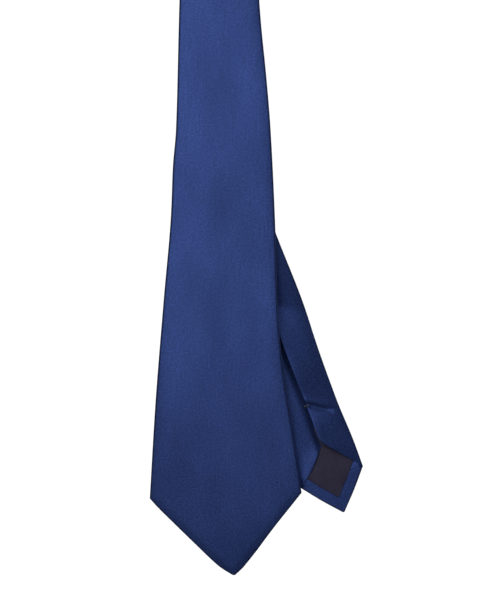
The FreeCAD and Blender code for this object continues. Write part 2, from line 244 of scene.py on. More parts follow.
MOUTH_ROUND = 5.0 * MM      # rounding of the flap's edge where the mouth begins
MOUTH_BOW = 2.0 * MM        # how far the under flap's edge bows there
BOW_SHAPE = 27 / 4          # brings the peak of t * t * (1 - t) to 1
HEM = 6.0 * MM              # hem that shows between the tip edge and the lining
HEM_TURN = 9.0 * MM         # the whole turned hem
UNDERLAP = 3.0 * MM         # how far the under flap passes the seam
FOLD_EDGE = 0.32 * MM       # radius of a turned-under cloth edge
TURN_IN = 3.0 * MM          # cloth turned in behind such an edge
CROWN = 0.3 * MM            # fullness of the outer face
EDGE_EASE = 0.25 * MM       # how far its margins ease back further, beside the rolled edges
EDGE_EASE_WIDTH = 6.0 * MM
EDGE_SHADE_WIDTH = 1.3 * MM       # width of the painted shade along each long edge
GROOVE = 1.6 * MM           # half width of the dip at a bias seam
SEAM_DENT = 0.3             # how much thinner the tie is in that dip
SEAM_SHADE_WIDTH = 8.0 * MM      # half width of the painted shade down the face's middle, over the seam
WIDE_FLAP = 14.0 * MM       # a flap stands off in full from this width on


class Leg:
    """One leg of the tie, by the height above its tip: its edges with the seam between them, its
    thickness, and how its flaps stand off. The stations of its curves are in millimetres."""

    def __init__(self, name, place, corner, mouth, left, right, thin, full, over_lift,
                 under_lift=LEVEL, left_bulge=LEVEL, right_bulge=LEVEL, seam=LEVEL, press=LEVEL,
                 lining_depth=LEVEL, outward=-1, top=0.0, tip_x=0.0, tack=-100 * MM,
                 lift_reach=9 * MM, dip=1 * MM, dip_run=6 * MM, pucker=0.0):
        self.name = name
        self.place = place
        self.outward = outward      # direction of the seam side along Y
        self.top = top
        self.corner = corner
        self.side = {-1: through(left), 1: through(right)}
        self.bulge = {-1: through(left_bulge, 1), 1: through(right_bulge, 1)}
        self.tip_x = tip_x
        self.tack = tack
        self.mouth = mouth
        self.seam = through(seam)
        self.thin = through(thin)   # thickness along the edges, and in the middle
        self.full = through(full)
        self.over_lift = through(over_lift)
        self.under_lift = through(under_lift)
        self.lift_reach = lift_reach
        self.dip = dip
        self.dip_run = dip_run
        self.pucker = pucker
        # press gives the painted shade down the face's middle, over the seam, by height
        self.press = through(press, MM, 1)
        self.lining_depth = through(lining_depth)

    def corner_x(self, side):
        return self.side[side](self.corner)

    def tip_line(self, side, rise):
        """The straight line from the tip to a corner."""
        return self.tip_x + (self.corner_x(side) - self.tip_x) * rise / self.corner

    def edge(self, side, rise):
        """The tip line with its fullness up to the corner, and the side above it."""
        t = np.clip(rise / self.corner, 0, 1)
        sloped = self.tip_line(side, t * self.corner) + side * self.bulge[side](t)
        return np.where(rise < self.corner, sloped, self.side[side](rise))

    def width(self, rise):
        return float(self.edge(1, rise) - self.edge(-1, rise))

    def hem_across(self, side):
        """Sideways width of a hem strip one unit wide, measured along X."""
        return math.hypot(self.corner_x(side) - self.tip_x, self.corner) / self.corner

    def hem_line(self, side, rise, hem):
        """The tip line moved in by the width of a hem."""
        return self.tip_line(side, rise) - side * hem * self.hem_across(side)

    def mouth_edge(self, side, rise):
        """Inner edge of a flap: along the seam, then from the mouth's top out to the corner.
        The under flap's edge bows over the lining on its way down."""
        start = self.seam(rise) + (0 if side > 0 else UNDERLAP)
        soft = MOUTH_ROUND / (self.mouth - self.corner)
        t = np.clip(ramp((self.mouth - rise) / (self.mouth - self.corner), 0, soft), 0, 1)
        bow = 0 if side > 0 else MOUTH_BOW * BOW_SHAPE * t * t * (1 - t)
        return float(start + (self.corner_x(side) - start) * t + bow)


BLADE = Leg(
    name="blade",
    place=place_blade,
    outward=1,
    top=BLADE_SEAM_Z - BLADE_TIP_Z,
    corner=45 * MM,
    left=[(45, -38.9), (94, -36.0), (155, -31.1), (205, -26.9), (229, -26.0), (251, -24.2),
          (324, -22.2), (430, -17.8), (520, -15.5), (600, -15.5)],
    right=[(45, 46.4), (80, 41.2), (118, 35.6), (155, 32.8), (194, 31.7), (251, 29.0), (283, 26.4),
           (310, 23.7), (340, 21.6), (430, 17.6), (520, 15.5), (600, 15.5)],
    tip_x=8.5 * MM,
    left_bulge=[(0, 0), (0.12, 2.8), (0.2, 3.1), (0.45, 2.5), (0.65, 1.8), (0.88, 1.0), (1, 0)],
    right_bulge=[(0, 0), (0.12, 1.1), (0.3, 1.0), (0.45, 0.6), (0.65, 0.3), (0.88, 0.15), (1, 0)],
    tack=108 * MM,
    mouth=82 * MM,
    seam=[(45, 3.8), (108, 2.2), (200, 1.0), (330, 0.0), (600, 0.0)],
    thin=[(0, 1.3), (45, 1.7), (110, 2.6), (600, 2.7)],
    full=[(0, 1.4), (45, 2.2), (110, 3.2), (600, 3.2)],
    over_lift=[(45, 0.5), (62, 1.1), (82, 1.5), (97, 1.0), (106, 0.1), (112, 0.1), (135, 0.5),
               (180, 0.2), (600, 0.2)],
    under_lift=[(45, 0.5), (62, 0.8), (76, 0.5), (90, 0.0), (600, 0.0)],
    pucker=0.5 * MM,
    # painted shade in patches down the blade's face, over the seam
    press=[(90, 0.0), (149, 0.30), (178, 0.10), (214, 0.28), (250, 0.05), (600, 0.05)],
    lining_depth=[(8, 1.75), (45, 1.98), (60, 1.7), (82, 1.4), (130, 1.35)],
)
TAIL_SIDE = [(21.4, 18.7), (35, 18.5), (63, 16.9), (91, 16.5), (116, 16.9), (162, 15.0), (216, 13.8),
             (330, 14.2), (440, 15.5), (560, 15.5)]
TAIL_BULGE = [(0, 0), (0.5, 0.5), (1, 0)]
TAIL = Leg(
    name="tail",
    place=place_tail,
    outward=-1,
    top=TAIL_SEAM_Z - PIVOT.z + TAIL_END,
    corner=21.4 * MM,
    left=[(rise, -half) for rise, half in TAIL_SIDE],
    right=TAIL_SIDE,
    left_bulge=TAIL_BULGE,
    right_bulge=TAIL_BULGE,
    tack=63.8 * MM,
    mouth=42.5 * MM,
    seam=[(42, 0.0), (64, -0.4), (80, -1.0), (101, -1.8), (216, -1.0), (300, 0.0), (560, 0.0)],
    thin=[(0, 1.3), (21.4, 1.6), (60, 2.4), (600, 2.6)],
    full=[(0, 1.4), (21.4, 2.0), (60, 2.9), (600, 3.0)],
    over_lift=[(21.4, 0.9), (31, 2.5), (42.5, 3.4), (50, 2.9), (59, 1.4), (64, 0.9), (68, 1.2),
               (86, 2.8), (104, 2.3), (135, 0.4), (560, 0.2)],
    under_lift=[(21.4, 0.4), (33, 0.5), (42, 0.2), (50, 0.0), (560, 0.0)],
    lift_reach=13 * MM,
    dip=1.5 * MM,
    dip_run=3.5 * MM,
    pucker=1.7 * MM,
    lining_depth=[(8, 1.72), (21.4, 1.86), (30, 1.6), (42, 1.35), (60, 1.3), (90, 1.3)],
)
NECK = Leg(
    name="neck",
    place=place_neck,
    corner=1 * MM,
    mouth=2 * MM,
    left=level(-NECK_HALF / MM),
    right=level(NECK_HALF / MM),
    thin=level(2.65),
    full=level(3.1),
    over_lift=level(0.2),
)
HALF_TURN = math.pi * FOLD_R / 2
NECK_FRONT = -BLADE_SEAM_Z + HALF_TURN
NECK_BACK = -TAIL_SEAM_Z + HALF_TURN
NECK_MIDDLE = 0.5           # a height well inside the neck's level curves


def front_depth(x, left, right):
    """Depth of the outer face: full in the middle, easing back towards both edges."""
    t = (x - (left + right) / 2) / ((right - left) / 2)
    from_edge = np.minimum(x - left, right - x)
    return FACE + CROWN * t * t + EDGE_EASE * (1 - smooth(0, EDGE_EASE_WIDTH, from_edge))


def pucker_depth(leg, across, rise):
    """The crease that the bar tack draws across the over flap, with a soft ridge above it."""
    below = leg.tack - rise
    line = 0.62 * across - 0.8 * MM
    fade = (1 - smooth(9 * MM, 16 * MM, across)) * smooth(-1 * MM, 2 * MM, across)
    groove = hump(below, line, 1.3 * MM)
    ridge = 0.35 * hump(below, line - 3.2 * MM, 2.2 * MM)
    return leg.pucker * (groove - ridge) * fade


def flap_depth(leg, x, inner, side, left, right, rise):
    """Depth of a back flap at x, from the rolled edge in to its inner edge."""
    from_edge = np.minimum(x - left, right - x)
    depth = FACE + leg.thin(rise)
    depth = depth + (leg.full(rise) - leg.thin(rise)) * smooth(0, 9 * MM, from_edge)
    from_inner = np.abs(x - inner)
    if side > 0:
        lift = leg.over_lift(rise) * smooth(0, WIDE_FLAP, right - inner)
        reach = np.minimum(leg.lift_reach, 0.7 * (right - inner))
        depth = depth + lift * np.exp(-(from_inner / reach) ** 1.5)
        return depth - pucker_depth(leg, x - leg.seam(rise), rise)
    past_corner = smooth(leg.corner, leg.mouth, rise)
    dip = smooth(leg.seam(rise) - leg.dip_run, leg.seam(rise), x)
    return depth - past_corner * leg.dip * dip + leg.under_lift(rise) * hump(x, inner, 6 * MM)


# Shares of the way across each stretch of a cross-section
BACK_STEPS = np.linspace(0, 1, 15)[:-1] ** 1.4
ROLL_ANGLES = math.pi * (1 - np.linspace(0, 1, 9))
FRONT_STEPS = np.linspace(0, 1, 49)[1:-1]
TURN_ANGLES = math.pi * (1 - np.linspace(0, 1, 6))
LEAST_FLAP = 0.1 * MM
HEM_PAST = 0.3 * MM         # how far the hem of one side may run past the tip


def side_section(leg, rise, hemmed, side, left, right):
    """One side's back half of a cross-section: tucked edge, flap or hem, and rolled edge."""
    thin = float(leg.thin(rise))
    roll = min(thin * 0.5, (right - left) / 2 * 0.4)
    side_x = right if side > 0 else left
    roll_x = side_x - side * roll
    if hemmed:
        hem_x = side_x - side * HEM_TURN * leg.hem_across(side)
        inner = further_in(-side, hem_x, leg.tip_x - side * HEM_PAST)
    else:
        inner = leg.mouth_edge(side, rise)
    inner = further_in(side, inner, roll_x - side * (FOLD_EDGE + LEAST_FLAP))
    start_x = inner + side * FOLD_EDGE
    back_x = start_x + (roll_x - start_x) * BACK_STEPS
    back_n = np.full(len(back_x), FACE + thin)
    if not hemmed:
        settle = smooth(0, 2 * MM, np.abs(roll_x - back_x))
        flap_n = flap_depth(leg, back_x, inner, side, left, right, rise)
        back_n = back_n * (1 - settle) + flap_n * settle
    tuck = min(TURN_IN, abs(roll_x - start_x)) * np.array([1.0, 0.5])
    tuck_n = np.interp(tuck, np.abs(back_x - start_x), back_n) - 2 * FOLD_EDGE
    turn_x = inner + side * FOLD_EDGE * (1 - np.sin(TURN_ANGLES[:-1]))
    turn_n = back_n[0] - FOLD_EDGE * (1 - np.cos(TURN_ANGLES[:-1]))
    front_n = front_depth(side_x, left, right)
    edge_x = roll_x + side * roll * np.sin(ROLL_ANGLES)
    edge_n = (front_n + FACE + thin) / 2 - (FACE + thin - front_n) / 2 * np.cos(ROLL_ANGLES)
    xs = np.concatenate((start_x + side * tuck, turn_x, back_x, edge_x))
    return xs, np.concatenate((tuck_n, turn_n, back_n, edge_n)), roll


def section(leg, rise, hemmed):
    """One cross-section, from the under flap's turned edge round the front to the over flap's."""
    left = float(leg.edge(-1, rise))
    right = float(leg.edge(1, rise))
    left_xs, left_ns, roll = side_section(leg, rise, hemmed, -1, left, right)
    right_xs, right_ns, roll = side_section(leg, rise, hemmed, 1, left, right)
    front_x = left + roll + (right - left - 2 * roll) * FRONT_STEPS
    xs = np.concatenate((left_xs, front_x, right_xs[::-1]))
    return xs, np.concatenate((left_ns, front_depth(front_x, left, right), right_ns[::-1]))


def pinched(xs, ns, from_seam):
    """Draws a cross-section in where the dip of a bias seam crosses it."""
    dent = SEAM_DENT * (1 - smooth(0, GROOVE, from_seam))
    return xs * (1 - dent * 0.1), ns * (1 - dent)


def cloth_places(xs, ns, rise, left, right, press=0.0):
    """Place on the flat cloth, measured round the cross-section, and how much painted shade it takes
    there: full along the long edges, and a little along the face where the seam lies behind it."""
    around = np.concatenate(([0], np.cumsum(np.hypot(np.diff(xs), np.diff(ns)))))
    around = around - around[len(around) // 2]
    # painted shade: darker along both long edges
    fold = 1 - smooth(0, EDGE_SHADE_WIDTH, np.minimum(xs - left, right - xs))
    # painted shade down the front face's middle, over the seam
    fold = np.maximum(fold, press * hump(xs, 0, SEAM_SHADE_WIDTH) * (ns < 0))
    return list(zip(around, np.full(len(xs), rise), fold))


# --- Meshes ---

def mesh_object(name, points, faces, cloth=None):
    """A smooth mesh. cloth gives each point its place on the flat cloth and how much painted shade it
    takes.
    """
    mesh = bpy.data.meshes.new(name)
    mesh.from_pydata([tuple(p) for p in points], [], faces)
    for polygon in mesh.polygons:
        polygon.use_smooth = True
    if cloth is not None:
        flat = mesh.uv_layers.new(name="cloth")
        # each point's painted shade, which the satin reads to darken its colour
        fold = mesh.attributes.new("fold", "FLOAT", "POINT")
        for loop in mesh.loops:
            flat.data[loop.index].uv = cloth[loop.vertex_index][:2]
        for index, values in enumerate(cloth):
            fold.data[index].value = values[2]
    obj = bpy.data.objects.new(name, mesh)
    bpy.context.scene.collection.objects.link(obj)
    return obj


def grid_faces(rows, columns, skip_row=None, first=0):
    faces = []
    for row in range(rows - 1):
        if row != skip_row:
            for a in range(first + row * columns, first + (row + 1) * columns - 1):
                faces.append((a, a + columns, a + columns + 1, a + 1))
    return faces


def weld(obj, distance):
    """Join points that lie on each other, such as those of the two rows at the corners."""
    bm = bmesh.new()
    bm.from_mesh(obj.data)
    bmesh.ops.remove_doubles(bm, verts=bm.verts, dist=distance)
    bm.to_mesh(obj.data)
    bm.free()


def thicken(obj, thickness, turned=True):
    """Gives the cloth its thickness, inwards from the face that shows. turned flips that face."""
    if turned:
        obj.data.flip_normals()
    solid = obj.modifiers.new("thickness", "SOLIDIFY")
    solid.thickness = thickness
    solid.offset = -1
    solid.use_even_offset = False
    return obj


# --- The outer cloth ---

BIAS_RUN = 60 * MM
TIP_STOP = 0.5 * MM         # the tip's last cross-section, just above its point
SAME = 0.01 * MM            # heights closer than this are the same


def hem_corner(leg, side, first):
    """The end of the tip's turned hem, running up under the flap at one corner."""
    points = []
    cloth = []
    rows = 8
    columns = 7
    for rise in np.linspace(leg.corner - 1 * MM, leg.corner + 9 * MM, rows):
        outer = leg.edge(side, rise) - side * leg.thin(rise) / 2
        inner = further_in(side, leg.hem_line(side, rise, HEM_TURN), outer - side * 0.1 * MM)
        xs = np.linspace(min(inner, outer), max(inner, outer), columns)
        ns = np.full(columns, FACE + leg.thin(rise) - 0.06 * MM)
        points.extend(zip(*leg.place(xs, ns, rise + 0 * xs)))
        cloth.extend(zip(xs + 0.1, np.full(columns, rise), np.zeros(columns)))
    return points, grid_faces(rows, columns, first=first), cloth


def leg_shell(leg, breaks, steps):
    """The folded outer cloth of one leg: front, rolled edges, two back flaps and the tip's hem.
    Its cross-sections are square to the leg, then turn to 45 degrees at the bias seam."""
    rows = []
    for rise in spaced([leg.top, leg.top - 2 * GROOVE] + breaks + [TIP_STOP], steps):
        if abs(rise - leg.corner) < SAME:
            rows.append((leg.corner, False))
        rows.append((rise, rise <= leg.corner + SAME))
    points = []
    cloth = []
    for rise, hemmed in rows:
        xs, ns = section(leg, rise, hemmed)
        slant = -leg.outward * smooth(leg.top - BIAS_RUN, leg.top, rise)
        points.extend(zip(*leg.place(*pinched(xs, ns, leg.top - rise), rise + slant * xs)))
        cloth.extend(cloth_places(xs, ns, rise, float(leg.edge(-1, rise)), float(leg.edge(1, rise)),
                                  float(leg.press(rise))))
    split = [rise for rise, hemmed in rows].index(leg.corner)
    faces = grid_faces(len(rows), len(xs), split)
    for side in (-1, 1):
        more_points, more_faces, more_cloth = hem_corner(leg, side, len(points))
        points.extend(more_points)
        faces.extend(more_faces)
        cloth.extend(more_cloth)
    obj = mesh_object(leg.name + "_satin", points, faces, cloth)
    weld(obj, 0.02 * MM)
    return thicken(obj, CLOTH, turned=leg.outward < 0)


def neck_shell():
    """The middle panel, over the rail between the two bias seams."""
    runs = spaced([-NECK_FRONT, 2 * GROOVE - NECK_FRONT, BIAS_RUN - NECK_FRONT, -HALF_TURN, HALF_TURN,
                   NECK_BACK - BIAS_RUN, NECK_BACK - 2 * GROOVE, NECK_BACK], [0.4, 4, 5, 1, 5, 4, 0.4])
    points = []
    cloth = []
    for run in runs:
        xs, ns = section(NECK, run + NECK_MIDDLE, False)
        slant = -smooth(NECK_BACK - BIAS_RUN, NECK_BACK, run)
        slant = slant - smooth(-NECK_FRONT + BIAS_RUN, -NECK_FRONT, run)
        from_seam = min(run + NECK_FRONT, NECK_BACK - run)
        points.extend(zip(*place_neck(*pinched(xs, ns, from_seam), run + slant * xs)))
        cloth.extend(cloth_places(xs, ns, run, -NECK_HALF, NECK_HALF))
    obj = mesh_object(NECK.name + "_satin", points, grid_faces(len(runs), len(xs)), cloth)
    return thicken(obj, CLOTH)


# --- Interlining ---

CORE_INSET = 1.7 * MM
CORE_FRONT = FACE + 0.55 * MM
CORE_ROOM = 2.3 * MM             # what the shell takes of a leg's thickness
CORE_LEAST = 0.45 * MM
NECK_CORE_FRONT = FACE + 0.85 * MM   # deeper, to clear the dips at the bias seams
NECK_CORE_DEPTH = 0.9 * MM
CORE_TIP = 8.0 * MM              # the core stops this far short of the tip edges
CORE_OVERLAP = BIAS_RUN / 3      # how far the neck's core runs on inside each leg
CORE_BOTTOM = 1.6 * CORE_TIP     # a leg's core has narrowed to its blunt end here
CORE_SHORT = NECK_HALF + 4 * MM  # it stops this far below the bias seam, where the neck's ends


def core(name, place, rises, edge, front, depth):
    """A closed flat bar of wool inside the shell, rounded along its edges."""
    across = np.sin(np.linspace(-math.pi / 2, math.pi / 2, 17))
    swell = (1 - across ** 8) * 0.8 + 0.2
    ring = 2 * len(across)
    points = []
    for rise in rises:
        left = edge(-1, rise)
        right = edge(1, rise)
        xs = (left + right) / 2 + across * (right - left) / 2
        half = depth(rise) / 2
        ring_x = np.concatenate((xs, xs[::-1]))
        ring_n = front + half + half * np.concatenate((-swell, swell[::-1]))
        points.extend(zip(*place(ring_x, ring_n, rise + 0 * ring_x)))
    faces = []
    for start in range(0, (len(rises) - 1) * ring, ring):
        for column in range(ring):
            a = start + column
            b = start + (column + 1) % ring
            faces.append((a, b, b + ring, a + ring))
    faces.append(tuple(range(ring))[::-1])
    faces.append(tuple(range((len(rises) - 1) * ring, len(rises) * ring)))
    return mesh_object(name, points, faces)


def leg_core(leg):
    """The core of one leg, pointed like the shell around it."""
    def edge(side, rise):
        line = leg.side[side](max(rise, leg.corner)) - side * CORE_INSET
        return further_in(side, line, leg.hem_line(side, rise, CORE_TIP))

    def depth(rise):
        return max(CORE_LEAST, float(leg.full(rise)) - CORE_ROOM)

    rises = spaced([leg.top - CORE_SHORT, 250 * MM, leg.corner + 20 * MM, CORE_BOTTOM], [8, 2, 1.5])
    return core(leg.name + "_core", leg.place, rises, edge, CORE_FRONT, depth)


def neck_core():
    def edge(side, run):
        return side * (NECK_HALF - CORE_INSET)

    def depth(run):
        return NECK_CORE_DEPTH

    runs = spaced([-NECK_FRONT - CORE_OVERLAP, -HALF_TURN, HALF_TURN, NECK_BACK + CORE_OVERLAP],
                  [8, 1, 8])
    return core("interlining_neck", place_neck, runs, edge, NECK_CORE_FRONT, depth)


# --- Tipping ---

LINING_CLOTH = 0.22 * MM
LINING_TURN = 0.3 * MM
LINING_INSET = 2.2 * MM     # from the leg's long edges
LINING_TUCK = 1.2 * MM


def lining_top(leg):
    """The lining ends this high above the tip, hidden between the flaps and the core."""
    return leg.mouth + 40 * MM


def lining_edge(leg, side, rise):
    """The sewn edge beside the hem, a little uneven, or the hidden edge inside the leg."""
    pull = 0.04 * MM * math.sin(rise / MM * 3.3 + side) + 0.10 * MM * math.sin(rise / MM * 0.6)
    inside = leg.side[side](max(rise, leg.corner)) - side * LINING_INSET
    return further_in(side, leg.hem_line(side, rise, HEM + pull), inside)


def lining(leg):
    """The lining behind the tip. Its lower edges are turned under and sewn down on the hem."""
    lowest = HEM * leg.hem_across(1) * leg.corner / abs(leg.corner_x(1) - leg.tip_x)
    rises = spaced([lining_top(leg), leg.mouth + 5 * MM, lowest + 0.4 * MM], [3, 0.7])
    points = []
    cloth = []
    for rise in rises:
        low = lining_edge(leg, -1, rise)
        high = lining_edge(leg, 1, rise)
        half = (high - low) / 2
        turn = min(LINING_TURN, half * 0.3)
        tuck = min(LINING_TUCK, half * 0.4)
        n = FACE + float(leg.lining_depth(rise))
        left_x = np.append(low + turn + tuck, low + turn * (1 - np.sin(TURN_ANGLES)))
        turn_n = n - turn * (1 - np.cos(TURN_ANGLES))
        left_n = np.append(turn_n[0], turn_n)
        across_x = np.linspace(low + turn, high - turn, 26)[1:-1]
        swell = 0.12 * MM * np.sin(across_x / MM * 0.5 + rise / MM * 0.3)
        swell = swell * smooth(0, 3 * MM, np.minimum(across_x - low, high - across_x))
        xs = np.concatenate((left_x, across_x, (high + low - left_x)[::-1]))
        ns = np.concatenate((left_n, n + swell, left_n[::-1]))
        points.extend(zip(*leg.place(xs, ns, rise + 0 * xs)))
        cloth.extend(cloth_places(xs, ns, rise, low, high))
    obj = mesh_object(leg.name + "_lining", points, grid_faces(len(rises), len(xs)), cloth)
    return thicken(obj, LINING_CLOTH, turned=leg.outward > 0)


# --- Thread ---

THREAD_R = 0.13 * MM
FINE_R = 0.1 * MM
THREAD_SIDES = 6
THREAD_END = 0.45           # how thin a thread is where it goes into the cloth
SLIP_PITCH = 11.5 * MM
SLIP_END = 6.0 * MM         # the slip stitch stops this far below the bias seam
TACK_HALF = 1.5 * MM
TACK_WRAPS = 12


class Threads:
    """Short lengths of thread gathered into one mesh."""

    def __init__(self, radius=THREAD_R):
        self.radius = radius
        self.points = []
        self.faces = []

    def add(self, path):
        """A round thread through the points of the path, closed at both ends."""
        path = [Vector(point) for point in path]
        first = len(self.points)
        last = first + (len(path) - 1) * THREAD_SIDES
        for index, point in enumerate(path):
            along = (path[min(index + 1, len(path) - 1)] - path[max(index - 1, 0)]).normalized()
            across = along.orthogonal().normalized()
            other = along.cross(across)
            radius = self.radius * (THREAD_END if index in (0, len(path) - 1) else 1.0)
            for turn in range(THREAD_SIDES):
                angle = 2 * math.pi * turn / THREAD_SIDES
                offset = across * math.cos(angle) + other * math.sin(angle)
                self.points.append(point + offset * radius)
        for ring in range(first, last, THREAD_SIDES):
            for turn in range(THREAD_SIDES):
                a = ring + turn
                b = ring + (turn + 1) % THREAD_SIDES
                self.faces.append((a, b, b + THREAD_SIDES, a + THREAD_SIDES))
        self.faces.append(tuple(range(first, first + THREAD_SIDES))[::-1])
        self.faces.append(tuple(range(last, last + THREAD_SIDES)))

    def arc(self, start, end, lift):
        """A stitch from start to end that rises over the cloth between them, along Y."""
        start = Vector(start)
        end = Vector(end)
        self.add([start.lerp(end, t) + Vector((0, lift, 0)) * math.sin(math.pi * t)
                  for t in (0, 0.25, 0.5, 0.75, 1)])

    def make(self, name):
        return mesh_object(name, self.points, self.faces)


def back_surface(leg, x, rise, side):
    """Depth of a flap's face beside the seam."""
    seam = float(leg.seam(rise))
    inner = seam if side > 0 else seam + UNDERLAP
    return float(flap_depth(leg, x, inner, side, float(leg.edge(-1, rise)),
                            float(leg.edge(1, rise)), rise))


def slip_stitch(leg, gap):
    """The seam's one thread, where it shows between the flaps: a short slant at each stitch,
    from a gap above the bar tack to the bias seam."""
    threads = Threads()
    first = leg.tack + gap
    for index in range(int((leg.top - SLIP_END - first) / SLIP_PITCH)):
        rise = first + SLIP_PITCH * (index + 0.5)
        low_rise = rise - 1.4 * MM
        seam = float(leg.seam(rise))
        high = back_surface(leg, seam + 0.5 * MM, rise, 1) - 0.1 * MM
        low = back_surface(leg, seam - 1.2 * MM, low_rise, -1)
        threads.arc(leg.place(seam + 0.35 * MM, high, rise),
                    leg.place(seam - 1.2 * MM, low, low_rise), leg.outward * 0.25 * MM)
    return threads.make(leg.name + "_slip_thread")


def bar_tack(leg):
    """A close row of wraps over two bars, across the end of the seam."""
    threads = Threads(0.15 * MM)
    rise = leg.tack
    seam = float(leg.seam(rise))

    def face(x):
        return back_surface(leg, x, rise, 1 if x > seam else -1) + 0.15 * MM

    def bridged(x):
        return max(face(x), face(seam + 0.2 * MM) - 0.3 * MM)

    for shift in (-0.3 * MM, 0.3 * MM):
        threads.add([leg.place(x, bridged(x), rise + shift)
                     for x in np.linspace(seam - TACK_HALF, seam + TACK_HALF, 9)])
    for x in np.linspace(seam - TACK_HALF * 0.85, seam + TACK_HALF * 0.85, TACK_WRAPS):
        n = bridged(x) - 0.05 * MM
        threads.arc(leg.place(x - 0.08 * MM, n, rise - 0.6 * MM),
                    leg.place(x + 0.08 * MM, n, rise + 0.6 * MM), leg.outward * 0.3 * MM)
    return threads.make(leg.name + "_tack_thread")


def tipping_stitches(leg):
    """Small slanted stitches that hold the lining's turned edge down on the hem."""
    threads = Threads(FINE_R)
    lowest = 1.6 * HEM
    pitch = 1.9 * MM
    for side in (-1, 1):
        for index in range(int((leg.corner - lowest) / pitch)):
            rise = lowest + pitch * (index + 0.5)
            x = float(leg.hem_line(side, rise, HEM))
            n = FACE + float(leg.lining_depth(rise))
            threads.arc(leg.place(x - side * 0.35 * MM, n + 0.02 * MM, rise + 0.3 * MM),
                        leg.place(x + side * 0.45 * MM, n - 0.5 * MM, rise - 0.25 * MM),
                        leg.outward * 0.12 * MM)
    return threads.make(leg.name + "_tipping_thread")


def seam_stitches(leg):
    """The machine stitches in the dip of a bias seam, round both faces."""
    threads = Threads(FINE_R)
    pitch = 2.4 * MM
    length = 1.5 * MM
    for n in (-1.15 * MM, 1.12 * MM):
        for index in range(int(2 * NECK_HALF / pitch)):
            start = -NECK_HALF + pitch * (index + 0.3)
            middle_n = n + math.copysign(0.1 * MM, n)
            threads.add([leg.place(x, depth, leg.top - leg.outward * x)
                         for x, depth in ((start, n * 0.9), (start + length / 2, middle_n),
                                          (start + length, n * 0.9))])
    return threads.make(leg.name + "_seam_thread")


# --- Keeper loop and labels ---

LOOP_LOW, LOOP_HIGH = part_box("keeper_loop")
LOOP_Z = (LOOP_LOW.z + LOOP_HIGH.z) / 2
LOOP_CLOTH = 0.7 * MM
LOOP_BOW = 20.0 * MM        # half width of the loop's bow
TAG_CLOTH = 0.3 * MM


def resting_depth(x, rise):
    """Depth of whatever lies across the blade's back: on the flaps, easing down off the seam."""
    seam = float(BLADE.seam(rise))
    face = back_surface(BLADE, x, rise, 1 if x > seam else -1)
    step = back_surface(BLADE, seam + 0.5 * MM, rise, 1)
    return max(face, step - 0.12 * max(seam - x, 0))


def tab_y(x):
    """Outer face of a tab of the loop, which lies on the blade's back."""
    rise = LOOP_Z - BLADE_TIP_Z
    return place_blade(x, resting_depth(x, rise), rise)[1] + LOOP_CLOTH


def keeper_loop():
    """A folded band: two tabs sewn flat on the blade's back and a soft bow round the tail."""
    lift = 0.05 * MM
    left_end = float(BLADE.edge(-1, LOOP_Z - BLADE_TIP_Z)) + 1.0 * MM
    base = tab_y(LOOP_BOW) + lift
    depth = LOOP_HIGH.y - 0.3 * MM - base
    path = [(x, tab_y(x) + lift) for x in np.linspace(left_end, -LOOP_BOW - 0.8 * MM, 5)]
    for angle in np.linspace(math.pi, 0, 49):
        reach = math.copysign(abs(math.cos(angle)) ** 0.42, math.cos(angle))
        path.append((LOOP_BOW * reach, base + depth * math.sin(angle) ** 0.55))
    path.extend((x, tab_y(x) + lift) for x in np.linspace(LOOP_BOW + 0.8 * MM, LOOP_HIGH.x, 5))
    height = (LOOP_HIGH.z - LOOP_LOW.z) / 2 - 0.2 * MM
    columns = np.sin(np.linspace(-math.pi / 2, math.pi / 2, 15))
    points = []
    cloth = []
    along_cloth = 0.0
    for index, (x, y) in enumerate(path):
        before = Vector(path[max(index - 1, 0)])
        after = Vector(path[min(index + 1, len(path) - 1)])
        along = (after - before).normalized()
        along_cloth += (Vector((x, y)) - before).length
        sag = 0.4 * MM * math.sin(math.pi * index / (len(path) - 1))
        for column in columns:
            drop = 0.3 * MM * column ** 8 + 0.08 * MM * math.exp(-(column / 0.1) ** 2)
            points.append((x + along.y * drop, y - along.x * drop, LOOP_Z + height * column - sag))
            # painted shade along the band's top and bottom edges
            cloth.append((height * column, along_cloth, 0.6 * abs(column) ** 8))
    obj = mesh_object("keeper_band", points, grid_faces(len(path), len(columns)), cloth)
    return thicken(obj, LOOP_CLOTH)


def tab_stitches():
    """Two short upright rows of stitches through the tabs of the keeper loop."""
    threads = Threads()
    for x in (-LOOP_BOW - 1.9 * MM, LOOP_BOW + 3.0 * MM):
        y = tab_y(x) + 0.1 * MM
        for index in range(4):
            z = LOOP_LOW.z + (index + 0.45) * 2.0 * MM
            threads.arc((x, y, z), (x, y, z + 1.3 * MM), 0.12 * MM)
    return threads.make("keeper_thread")


def on_back(x, z, lift):
    """A point above the blade's back, which clears the seam."""
    rise = z - BLADE_TIP_Z
    return place_blade(x, resting_depth(x, rise) + lift, rise)


def tag(name, node, curl):
    """A woven tag lying on the blade's back, its ends pressed under."""
    low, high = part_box(node)
    columns = np.linspace(low.x, high.x, 33)
    rows = np.linspace(high.z, low.z, 33)
    points = []
    cloth = []
    for row, z in enumerate(rows):
        t = row / (len(rows) - 1)
        for x in columns:
            lift = curl * t * t + 0.07 * MM * (1 + math.sin(x / MM * 0.6 + t * 4))
            press = 0.1 * MM * math.exp(-min(x - low.x, high.x - x) / (0.5 * MM))
            points.append(on_back(x, z, TAG_CLOTH + 0.1 * MM + lift - press))
            cloth.append(((x - low.x) / (high.x - low.x), t, 0.0))
    obj = mesh_object(name, points, grid_faces(len(rows), len(columns)), cloth)
    return thicken(obj, TAG_CLOTH)


